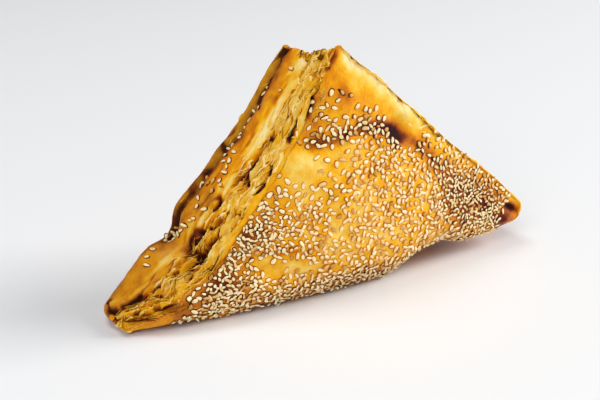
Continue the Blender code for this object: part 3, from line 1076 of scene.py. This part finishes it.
def makeGrainGroup():
    # mottled grain: noise of two sizes, centred on zero, for colour and for bump
    group = bpy.data.node_groups.new("bakedGrain", "ShaderNodeTree")
    noises = (("Coarse Scale", "Mottle", 5.0), ("Fine Scale", "Grain", 3.0))     # in, out, detail
    for scale, result, detail in noises:
        group.interface.new_socket(scale, in_out="INPUT", socket_type="NodeSocketFloat")
        group.interface.new_socket(result, in_out="OUTPUT", socket_type="NodeSocketFloat")
    entry = addNode(group, "NodeGroupInput")
    leave = addNode(group, "NodeGroupOutput")
    where = addNode(group, "ShaderNodeTexCoord").outputs["Object"]
    for scale, result, detail in noises:
        noise = addNode(group, "ShaderNodeTexNoise")
        noise.inputs["Detail"].default_value = detail
        group.links.new(where, noise.inputs["Vector"])
        group.links.new(entry.outputs[scale], noise.inputs["Scale"])
        centred = combine(group, "SUBTRACT", noise.outputs["Fac"], 0.5)
        group.links.new(centred, leave.inputs[result])
    return group


grainGroup = makeGrainGroup()


def addGrain(tree, coarseScale, fineScale):
    node = addNode(tree, "ShaderNodeGroup", node_tree=grainGroup)
    node.inputs["Coarse Scale"].default_value = coarseScale
    node.inputs["Fine Scale"].default_value = fineScale
    return node.outputs["Mottle"], node.outputs["Grain"]


def addBump(tree, shader, height, distance):
    bump = addNode(tree, "ShaderNodeBump")
    bump.inputs["Distance"].default_value = distance * mm
    bump.inputs["Strength"].default_value = 1.0
    tree.links.new(height, bump.inputs["Height"])
    tree.links.new(bump.outputs["Normal"], shader.inputs["Normal"])


def bakedCrustMaterial(s):
    # the bake value, which carries painted shade and painted highlights too, plus mottling picks
    # the colour, the wash value makes it glossy
    material, tree, shader = newMaterial("bakedCrust")
    mottle, grain = addGrain(tree, *s["grain"])
    toned = combine(tree, "MULTIPLY_ADD", mottle, s["mottle"], readValue(tree, "bakeAndShade"))
    speckled = combine(tree, "MULTIPLY_ADD", grain, s["speckle"], toned)
    mix = addNode(tree, "ShaderNodeMix", data_type="RGBA")
    tree.links.new(readValue(tree, "olive"), mix.inputs["Factor"])
    tree.links.new(rampColour(tree, speckled, s["colours"]), mix.inputs["A"])
    mix.inputs["B"].default_value = (*s["olive"], 1.0)
    tree.links.new(mix.outputs["Result"], shader.inputs["Base Color"])
    wash = readValue(tree, "wash")
    rough = combine(tree, "MULTIPLY_ADD", wash, s["washRough"], s["rough"])
    rougher = combine(tree, "MULTIPLY_ADD", mottle, s["mottleRough"], rough)
    tree.links.new(rougher, shader.inputs["Roughness"])
    shader.inputs["Specular IOR Level"].default_value = s["shine"]
    coat = combine(tree, "MULTIPLY", wash, s["coat"])
    tree.links.new(coat, shader.inputs["Coat Weight"])
    shader.inputs["Coat Roughness"].default_value = s["coatRough"]
    height = combine(tree, "MULTIPLY_ADD", mottle, s["mottleHeight"], grain)
    addBump(tree, shader, height, s["bump"])
    return material


def mottledMaterial(s):
    # the attribute plus mottling picks the colour
    material, tree, shader = newMaterial(s["name"])
    mottle, grain = addGrain(tree, *s["grain"])
    toned = combine(tree, "MULTIPLY_ADD", mottle, s["mottle"], readValue(tree, s["attribute"]))
    tree.links.new(rampColour(tree, toned, s["colours"]), shader.inputs["Base Color"])
    shader.inputs["Roughness"].default_value = s["rough"]
    shader.inputs["Specular IOR Level"].default_value = s["shine"]
    addBump(tree, shader, grain, s["bump"])
    return material


crustMaterial = bakedCrustMaterial(crustFinish)
layerMaterial = mottledMaterial(layerFinish)
seedMaterial = mottledMaterial(seedFinish)
print("finishes made")


# the crust mesh

def crustFaces():
    # four corners for each cell of the closed grid, and a fan round each pole
    number = np.arange(rowCount * columnCount).reshape(rowCount, columnCount)
    after = np.roll(number, -1, axis=1)
    cells = np.stack((number[:-1], after[:-1], after[1:], number[1:]), axis=-1).reshape(-1, 4)
    frontPole = rowCount * columnCount
    backPole = frontPole + 1
    frontFan = np.column_stack((np.full(columnCount, frontPole), after[0], number[0]))
    backFan = np.column_stack((number[-1], after[-1], np.full(columnCount, backPole)))
    return cells.tolist() + frontFan.tolist() + backFan.tolist()


def withPoles(numbers):
    # a value for each grid point, then the mean of the first and of the last ring for the poles
    return np.concatenate((numbers.ravel(), (numbers[0].mean(), numbers[-1].mean())))


poles = np.array((surface[0].mean(axis=0), surface[-1].mean(axis=0)))
crustPoints = np.concatenate((surface.reshape(-1, 3), poles))
crustValues = {"bakeAndShade": withPoles(bakeAndShade), "wash": withPoles(wash), "olive": withPoles(olive)}
crust = putMesh("crust_baked", crustPoints, crustFaces(), crustValues, crustMaterial)
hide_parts("crust")


# layers: thin strips that stand in the cut edges and run along both legs

layerStrips = {
    "section": 6,
    "stations": 32,
    "shortest": 7.0,
    "longest": 32.0,
    "aslant": 0.10,                        # typical sideways run for each mm along
    "rise": 0.45,                          # of the top over the crust under it
    "riseSpread": 0.75,
    "deep": 1.6,                           # from top to foot
    "thick": 0.40,
    "thickSpread": 0.20,
    "thinnest": 0.2,
    "thickWaves": ((4.0, 2.0, 94),),       # size, amount, seed
    "lean": 0.55,
    "leanWaves": ((8.0, 2.0, 95),),
    "roughWaves": ((7.0, 0.6, 91), (2.4, 0.4, 92), (1.1, 0.2, 93)),
    "tintWaves": ((12.0, 0.18, 96), (3.0, 0.18, 97)),
    "roughHighlight": 0.30,                     # high stretches of the top are paler: painted highlight
    "taper": 0.16,                         # share of the length over which an end thins out
    "endDrop": 0.5,                        # at the ends: how far the top drops, the depth and
    "endDeep": 0.3,                        # the thickness left, each as a share
    "endThick": 0.35,
    "footWide": 1.15,                      # width at the foot, and how much narrower the top is
    "narrower": 0.5,
    "footTone": 0.14,
    "paleTopShadedFoot": 0.70,                         # the top against the foot, which painted shade makes darker
    "toneCurve": 1.4,
    "tint": 1.4,
    "drift": ((9.0, 1.0), (3.4, 0.80), (1.5, 0.40)),       # size along the leg, how far sideways
    "driftTogether": (0.6, 70),            # share and first seed: with its neighbours,
    "driftApart": (0.7, 80),               # and on its own
    "apart": 17.3,                         # a strip's own noise is read this much further off
    "together": 9.0,
    "stray": 0.02,                         # how far past its first and last place it may go
    "pushAlong": 1.3,                      # a pit pushes strips aside: reach along and across,
    "pushReach": 2.0,                      # how suddenly, and how far
    "pushSharp": 1.5,
    "pushFar": 0.9,
    "shadeFromUnder": 0.50,                        # painted shade where the crust under a strip is dark
    "dark": (0.60, 0.30),
    "tipShade": 0.16,                      # at the left tip
    "tipTo": (0.16, 0.08),
    "seed": 61,
}

# kinds of strip: from and to as shares of the leg, first and last place on the even wall, how
# many, and whatever differs from the settings above
flatFlake = {"shortest": 4.0, "longest": 11.0, "aslant": 0.25, "thick": 2.2, "thickSpread": 0.9,
             "rise": 0.25, "riseSpread": 0.4, "deep": 0.9, "paleTopShadedFoot": 0.85}
webThread = {"shortest": 3.5, "longest": 13.0, "aslant": 0.45, "thick": 0.36, "thickSpread": 0.05,
             "rise": 1.0, "riseSpread": 0.8, "deep": 0.4, "paleTopShadedFoot": 0.4}
stripKinds = {
    "left": (
        {"from": -0.04, "to": 1.02, "first": 0.03, "last": 0.34, "count": 150, "longest": 18.0},
        {"from": 0.38, "to": 1.00, "first": 0.04, "last": 0.40, "count": 26, **flatFlake},
        {"from": -0.02, "to": 0.36, "first": 0.00, "last": 0.37, "count": 84, **webThread},
        {"from": 0.24, "to": 1.01, "first": 0.31, "last": 0.45, "count": 50, "longest": 16.0,
         "thick": 0.5, "rise": 0.15, "riseSpread": 0.4, "paleTopShadedFoot": 0.86},
        {"from": 0.40, "to": 0.98, "first": 0.03, "last": 0.36, "count": 24, **webThread},
        {"from": 0.30, "to": 1.00, "first": 0.92, "last": 0.975, "count": 12, "rise": 0.05,
         "riseSpread": 0.3, "shortest": 3.0, "longest": 9.0, "aslant": 0.3, "thick": 0.6,
         "paleTopShadedFoot": 0.30},
    ),
    "right": (
        {"from": -0.02, "to": 1.03, "first": 0.05, "last": 0.95, "count": 340, "longest": 46.0,
         "thick": 0.34, "aslant": 0.05},
        {"from": 0.00, "to": 1.00, "first": 0.10, "last": 0.90, "count": 30, **flatFlake},
        {"from": 0.01, "to": 0.70, "first": -0.06, "last": 0.03, "count": 44, **flatFlake,
         "thick": 0.8, "rise": 0.12, "riseSpread": 0.2, "deep": 0.5, "aslant": 0.12},
    ),
}


def quads(number, after):
    # four corners for each cell between one run of points and the next
    corners = (number[..., :-1, :], number[..., 1:, :], after[..., 1:, :], after[..., :-1, :])
    return np.stack(corners, axis=-1).reshape(-1, 4)


def tubeFaces(count, stations, around, first):
    # the sides of each tube, and one flat cap at each end
    number = first + np.arange(count * stations * around).reshape(count, stations, around)
    cells = quads(number, np.roll(number, -1, axis=-1))
    starts = number[:, 0].tolist()
    ends = number[:, -1, ::-1].tolist()
    return cells.tolist() + starts + ends


def pitPush(along, place, pits, s):
    # how far a strip is pushed sideways by the pits beside it
    shift = np.zeros(np.shape(along))
    for pitAlong, pitPlace, reachAlong, reachPlace, _, height in pits:
        if height > 0:
            continue
        near = np.exp(-((along - pitAlong) / (reachAlong * s["pushAlong"])) ** 2)
        side = (place - pitPlace) / reachPlace
        fading = np.exp(-(side / s["pushReach"]) ** 2)
        shift += near * np.tanh(side * s["pushSharp"]) * fading * reachPlace * s["pushFar"]
    return shift


def stripRuns(s, rng):
    # middles spread evenly along the leg in chance order; a few strips are long, most are short
    count = s["count"]
    runLong, runWide = s["to"] - s["from"], s["last"] - s["first"]
    middle = s["from"] + runLong * (rng.permutation(count) + rng.random(count)) / count
    place = s["first"] + runWide * (np.arange(count) + rng.random(count)) / count
    length = s["shortest"] + (s["longest"] - s["shortest"]) * rng.random(count) ** 2.0
    aslant = s["aslant"] * rng.normal(0.0, 1.0, count)
    return middle, place, length, aslant


def stripPoints(leg, s, rng):
    # a flat oval section carried along each strip's path; its foot is under the crust and its
    # top rises and falls with noise
    legLength = leftLength if leg == "left" else rightLength
    middle, place, length, aslant = stripRuns(s, rng)
    share = np.linspace(-0.5, 0.5, s["stations"])
    run = length[:, None] * share
    along = middle[:, None] + run / legLength
    zero = 0.0 * run
    offset = place[:, None] * wallWidth
    own = np.stack((along * legLength, s["apart"] * offset + zero, zero), axis=-1)
    common = np.stack((along * legLength, offset + zero, s["together"] + zero), axis=-1)
    sideways = aslant[:, None] * run
    commonShare, commonSeed = s["driftTogether"]
    ownShare, ownSeed = s["driftApart"]
    for i, (size, reach) in enumerate(s["drift"]):
        drift = (commonShare * softNoise(common, size, commonSeed + i)
                 + ownShare * softNoise(own, size, ownSeed + i))
        sideways = sideways + reach * drift
    lateral = np.clip(place[:, None] + sideways / wallWidth, s["first"] - s["stray"],
                      s["last"] + s["stray"])
    if leg == "left":
        lateral = realPlace(lateral, along)
        lateral = lateral + pitPush(along, lateral, wallRelief["pits"], s)
    column = legColumn(leg, along)
    row = edgeRow + lateral * crustShape["wallRows"]
    point = gridSample(base, row, column)
    normal = unit(gridSample(baseNormals, row, column))
    sideVector = unit(gridSample(base, row + 2.0, column) - point)
    ground = gridValue(reliefHeight, row, column)
    taper = rampDown(np.abs(share), 0.5, s["taper"])
    rough = waveSum(own, s["roughWaves"])
    top = ground + s["rise"] + s["riseSpread"] * rough - s["deep"] * s["endDrop"] * (1.0 - taper)
    foot = top - s["deep"] * (s["endDeep"] + (1.0 - s["endDeep"]) * taper)
    thick = s["thick"] + s["thickSpread"] * waveSum(own, s["thickWaves"])
    thick = np.maximum(thick, s["thinnest"]) * (s["endThick"] + (1.0 - s["endThick"]) * taper)
    lean = s["lean"] * waveSum(own, s["leanWaves"])
    angles = np.linspace(0.0, 2 * math.pi, s["section"], endpoint=False) + 0.5 * math.pi
    climb = 0.5 + 0.5 * np.sin(angles)
    width = 0.5 * np.cos(angles) * (s["footWide"] - s["narrower"] * climb)
    height = foot[..., None] + (top - foot)[..., None] * climb
    aside = thick[..., None] * width + lean[..., None] * (top - foot)[..., None] * climb
    points = (point[:, :, None] + normal[:, :, None] * height[..., None]
              + sideVector[:, :, None] * aside[..., None])
    tint = waveSum(own, s["tintWaves"]) + s["roughHighlight"] * rough
    # painted shade on the strips: darker where the crust under them is dark, at the left tip and
    # towards the foot
    shade = s["shadeFromUnder"] * rampUp(gridValue(bakeAndShade, row, column), *s["dark"])
    shade = shade + s["tipShade"] * rampDown(along, *s["tipTo"]) * (leg == "left")
    tone = s["footTone"] + s["paleTopShadedFoot"] * climb ** s["toneCurve"]
    edge = tone + s["tint"] * tint[..., None] - shade[..., None]
    return points.reshape(-1, 3), np.clip(edge, 0.0, 1.0).ravel()


def layerPiece(name, leg):
    # every kind of strip of one leg in one mesh
    allPoints, allEdges, allFaces = [], [], []
    used = 0
    for i, kind in enumerate(stripKinds[leg]):
        s = {**layerStrips, **kind}
        rng = np.random.default_rng(s["seed"] + 10 * len(leg) + i)
        points, edges = stripPoints(leg, s, rng)
        allPoints.append(points)
        allEdges.append(edges)
        allFaces += tubeFaces(s["count"], s["stations"], s["section"], used)
        used += len(points)
    values = {"edge": np.concatenate(allEdges)}
    return putMesh(name, np.concatenate(allPoints), allFaces, values, layerMaterial)


layerPiece("layers_left", "left")
layerPiece("layers_right", "right")


# sesame seeds, and round each of them a ring of browned egg wash with painted contact shade

seeds = {
    "sizes": (2.60, 1.48, 0.84),         # length, width and thickness
    "spread": 0.15,                      # of each size, share
    "larger": 0.06,                      # where they lie thin
    "smaller": 0.30,                     # where they lie thick they are smaller and more toasted
    "toastier": 0.14,
    "paleMany": 2.2,                     # the higher, the fewer are well toasted
    "around": 8,
    "rings": 4,
    "pointed": 0.28,
    "blunt": 0.9,
    "seed": 7,
    "tries": 6600,
    "sweeps": 60,
    "spacing": 1.74,
    "gapThin": 1.35,                     # the spacing's share where they lie thin, and how much
    "gapCloser": 0.58,                   # less it is where they lie thick
    "gapSpread": (0.85, 1.15),
    "tilt": 16.0,
    "steepest": 28.0,
    "sink": 0.22,                        # share of the thickness that is in the crust
    "tiltLift": 0.35,                    # share of its length that a tilted seed is raised by
    "overFloor": (1.2, 1.5),             # none close to the floor, none on what faces away or down
    "forward": (-0.25, 0.3),
    "upward": (-0.94, 0.20),
    "ringSizes": (1.26, 1.36, 0.42),     # the ring of browned egg wash and painted contact shade against its seed
    "ringLift": 0.02,
    "ringBrownerShaded": 0.30,                 # how much browner the ring is than the crust under it, browned egg wash with painted shade
    "ringContrast": 0.7,
    "ringFrom": 0.35,
    "ringDarkest": 0.93,
    # how thickly the front face is covered: x, z, long, short, angle, share
    "cover": (
        (66.0, 28.0, 22.0, 12.0, -36.0, 1.05),
        (52.0, 40.0, 14.0, 10.0, -40.0, 0.30),
        (76.0, 16.0, 14.0, 8.0, -20.0, 0.76),
        (36.0, 26.0, 16.0, 14.0, -20.0, 0.36),
        (22.0, 48.0, 20.0, 14.0, -40.0, 0.42),
        (2.0, 40.0, 14.0, 14.0, -30.0, 0.34),
        (-10.0, 24.0, 22.0, 9.0, -20.0, 0.36),
        (-46.0, 36.0, 14.0, 9.0, 38.0, 1.05),
        (-30.0, 38.0, 15.0, 9.0, 30.0, 0.46),
        (-58.0, 17.0, 13.0, 9.0, 20.0, 1.10),
        (0.0, 7.0, 64.0, 6.0, 0.0, 0.66),
        (-4.0, 73.0, 17.0, 4.4, 0.0, 0.40),
        (14.0, 71.0, 8.0, 3.4, -14.0, 0.34),
        (-8.0, 75.0, 16.0, 8.0, 0.0, 0.05),
        (20.0, 62.0, 12.0, 5.0, -34.0, 0.38),
        (10.0, 92.0, 22.0, 8.0, -40.0, -0.30),
        (-26.0, 60.0, 10.0, 7.0, -40.0, -0.10),
        (-41.0, 22.0, 9.0, 3.4, -24.0, -1.10),
        (-7.0, 31.0, 4.0, 5.0, 0.0, -0.24),
        (-28.0, 21.0, 5.0, 2.6, -15.0, -0.40),
        (-34.0, 16.0, 16.0, 7.0, -22.0, 0.50),
        (-14.0, 50.0, 8.0, 4.0, -30.0, -0.08),
        (84.0, 14.0, 7.0, 4.4, -20.0, -1.2),
        (90.0, 18.0, 6.0, 3.4, -32.0, -1.4),
        (-82.0, 14.0, 12.0, 8.0, 0.0, -0.6),
        (23.5, 67.0, 8.0, 4.0, -38.0, -1.6),
        (-12.0, 100.0, 8.0, 5.0, 58.0, -0.50),
    ),
    "sparse": 0.055,
    "bareLeftOf": -84.0,                 # no seeds on the left tip
    "legCover": 0.4,                     # on the left leg, where each place is listed
    # share of the left leg, share of the wall
    "onLeg": ((0.93, 0.63), (0.85, 0.54), (0.85, 0.78), (0.83, 0.79), (0.78, 0.74), (0.77, 0.91),
              (0.74, 0.91), (0.71, 0.90), (0.685, 0.90), (0.67, 0.78), (0.68, 0.84), (0.645, 0.92),
              (0.63, 0.93), (0.62, 0.70), (0.58, 0.75), (0.59, 0.685), (0.57, 0.67), (0.55, 0.65),
              (0.60, 0.80), (0.515, 0.94), (0.495, 0.93), (0.495, 0.77), (0.51, 0.72), (0.52, 0.64),
              (0.51, 0.59), (0.48, 0.64), (0.48, 0.84), (0.44, 0.75), (0.415, 0.69), (0.42, 0.58),
              (0.38, 0.63), (0.35, 0.70), (0.37, 0.66), (0.32, 0.95), (0.305, 0.965), (0.33, 0.74),
              (0.315, 0.78), (0.285, 0.985), (0.29, 0.92), (0.30, 0.94), (0.275, 0.96),
              (0.28, 0.90), (0.22, 0.88), (0.17, 0.76), (0.19, 0.85), (0.96, 0.06)),
}


def seedPlaces(s):
    # tries on the front face, more of them where the cover is thick, thinned until no two are
    # closer than the gap that both may have
    rng = np.random.default_rng(s["seed"])
    corner = surface[:-1]
    right = np.roll(surface, -1, axis=1)[:-1]
    area = np.linalg.norm(np.cross(right - corner, surface[1:] - corner), axis=-1)
    cover = s["sparse"] + spotSum(surface[..., 0], surface[..., 2], s["cover"])
    cover = np.clip(cover, 0.0, 1.0)[:-1]
    cover[edgeRow - 1:] = 0.0
    overFloor = rampUp(surface[:-1, :, 2], *s["overFloor"])
    forward = rampUp(-surfaceNormals[:-1, :, 1], *s["forward"])
    upward = rampUp(surfaceNormals[:-1, :, 2], *s["upward"])
    weight = area * cover * overFloor * forward * upward
    weight = weight.ravel() / weight.sum()
    picked = rng.choice(weight.size, s["tries"], p=weight)
    row = picked // columnCount + rng.random(s["tries"])
    column = picked % columnCount + rng.random(s["tries"])
    place = gridSample(surface, row, column)
    thickly = cover.ravel()[picked]
    gap = s["spacing"] * (s["gapThin"] - s["gapCloser"] * thickly)
    gap = gap * rng.uniform(*s["gapSpread"], s["tries"])
    square = (place ** 2).sum(axis=1)
    apart = np.sqrt(np.maximum(square[:, None] + square[None] - 2.0 * place @ place.T, 0.0))
    order = np.arange(s["tries"])
    clash = (apart < np.minimum(gap[:, None], gap[None])) & (order[:, None] > order[None])
    kept = np.ones(s["tries"], bool)
    settled = np.zeros(s["tries"], bool)
    for _ in range(s["sweeps"]):
        # an open try with no earlier open one too close is settled, and those close to it go
        waiting = kept & ~settled
        settled |= waiting & ~(clash & waiting[None]).any(axis=1)
        kept &= settled | ~(clash & (kept & settled)[None]).any(axis=1)
        if not (kept & ~settled).any():
            break
    kept &= place[:, 0] > s["bareLeftOf"]
    row, column = row[kept], column[kept]
    legAlong, legPlace = np.array(s["onLeg"]).T
    row = np.concatenate((row, edgeRow + legPlace * crustShape["wallRows"]))
    column = np.concatenate((column, legColumn("left", legAlong)))
    return row, column, np.concatenate((thickly[kept], s["legCover"] + 0.0 * legPlace))


def seedFrames(row, column, s):
    # for each seed: the place on the crust, its long side, wide side and upper side, the crust's
    # outward direction there, and its tilt
    rng = np.random.default_rng(s["seed"] + 1)
    point = gridSample(surface, row, column)
    out = unit(gridSample(surfaceNormals, row, column))
    turn = rng.uniform(0.0, 2 * math.pi, len(row))
    steep = np.abs(out[:, 2:3]) > 0.9
    helper = np.where(steep, np.array((1.0, 0.0, 0.0)), np.array((0.0, 0.0, 1.0)))
    first = unit(np.cross(out, helper))
    second = np.cross(out, first)
    longSide = first * np.cos(turn)[:, None] + second * np.sin(turn)[:, None]
    angles = rng.normal(0.0, s["tilt"], (2, len(row))).clip(-s["steepest"], s["steepest"])
    tilt, roll = np.radians(angles)
    longSide = unit(longSide + out * np.tan(tilt)[:, None])
    wideSide = unit(np.cross(out, longSide) + out * np.tan(roll)[:, None])
    up = unit(np.cross(longSide, wideSide))
    return point, longSide, wideSide, up, out, tilt


def seedForm(s):
    # rings along the length, as wide as sin(f)^blunt · (1 + pointed·cos f), so one end is pointed
    slopes = np.linspace(0.0, math.pi, s["rings"] + 2)[1:-1]
    turns = np.linspace(0.0, 2 * math.pi, s["around"], endpoint=False)
    girth = np.sin(slopes) ** s["blunt"] * (1.0 + s["pointed"] * np.cos(slopes))
    long = -0.5 * np.cos(slopes)[:, None] * np.ones(len(turns))
    wide = 0.5 * girth[:, None] * np.cos(turns)
    high = 0.5 * girth[:, None] * np.sin(turns)
    form = np.stack((long, wide, high), axis=-1).reshape(-1, 3)
    return np.concatenate((form, ((-0.5, 0.0, 0.0), (0.5, 0.0, 0.0))))


def seedFaces(rings, around):
    # the cells between the rings, and a fan at each end
    number = np.arange(rings * around).reshape(rings, around)
    after = np.roll(number, -1, axis=1)
    cells = quads(number, after)
    first = np.full(around, rings * around)
    startFan = np.column_stack((first, number[0], after[0]))
    endFan = np.column_stack((number[-1], first + 1, after[-1]))
    return cells, np.concatenate((startFan, endFan))


def joinCopies(name, form, cells, fans, centre, axes, sizes, values, material):
    # every copy at once: centre + long·length + wide·width + high·thickness
    points = centre[:, None]
    for i, axis in enumerate(axes):
        points = points + form[None, :, i:i + 1] * sizes[:, None, i:i + 1] * axis[:, None]
    offset = (np.arange(len(centre)) * len(form))[:, None, None]
    faces = (cells[None] + offset).reshape(-1, 4).tolist()
    faces += (fans[None] + offset).reshape(-1, 3).tolist()
    spread = {label: np.repeat(numbers, len(form)) for label, numbers in values.items()}
    return putMesh(name, points.reshape(-1, 3), faces, spread, material)


def makeSeeds(s):
    # each seed sits a little way into the crust, on a wider and flatter copy of itself that is its
    # ring of browned egg wash and painted contact shade
    row, column, thickly = seedPlaces(s)
    point, longSide, wideSide, up, out, tilt = seedFrames(row, column, s)
    rng = np.random.default_rng(s["seed"] + 2)
    count = len(row)
    sizes = np.array(s["sizes"]) * (1 + s["spread"] * rng.normal(0, 1, (count, 3)).clip(-2, 2))
    sizes = sizes * (1.0 + s["larger"] - s["smaller"] * thickly)[:, None]
    lift = sizes[:, 2] * (0.5 - s["sink"]) + s["tiltLift"] * sizes[:, 0] * np.abs(np.sin(tilt))
    toast = rng.random(count) ** s["paleMany"] + s["toastier"] * thickly * rng.random(count)
    cells, fans = seedFaces(s["rings"], s["around"])
    form = seedForm(s)
    joinCopies("sesame_seeds", form, cells, fans, point + out * lift[:, None],
               (longSide, wideSide, up), sizes, {"toast": toast}, seedMaterial)
    flatLong = unit(longSide - out * (longSide * out).sum(axis=1, keepdims=True))
    flatWide = np.cross(out, flatLong)
    under = gridValue(bakeAndShade, row, column)
    contrast = s["ringContrast"] * np.clip(under - s["ringFrom"], 0.0, 1.0)
    ringBakeAndShade = np.clip(under + s["ringBrownerShaded"] + contrast, 0.0, s["ringDarkest"])
    ringValues = {"bakeAndShade": ringBakeAndShade, "wash": np.ones(count), "olive": np.zeros(count)}
    # a dark ring under each seed: browned egg wash with painted contact shade
    joinCopies("egg_wash_shade_rings", form, cells, fans, point + out * s["ringLift"],
               (flatLong, flatWide, out), sizes * np.array(s["ringSizes"]), ringValues,
               crustMaterial)
    print("seeds", count)


makeSeeds(seeds)
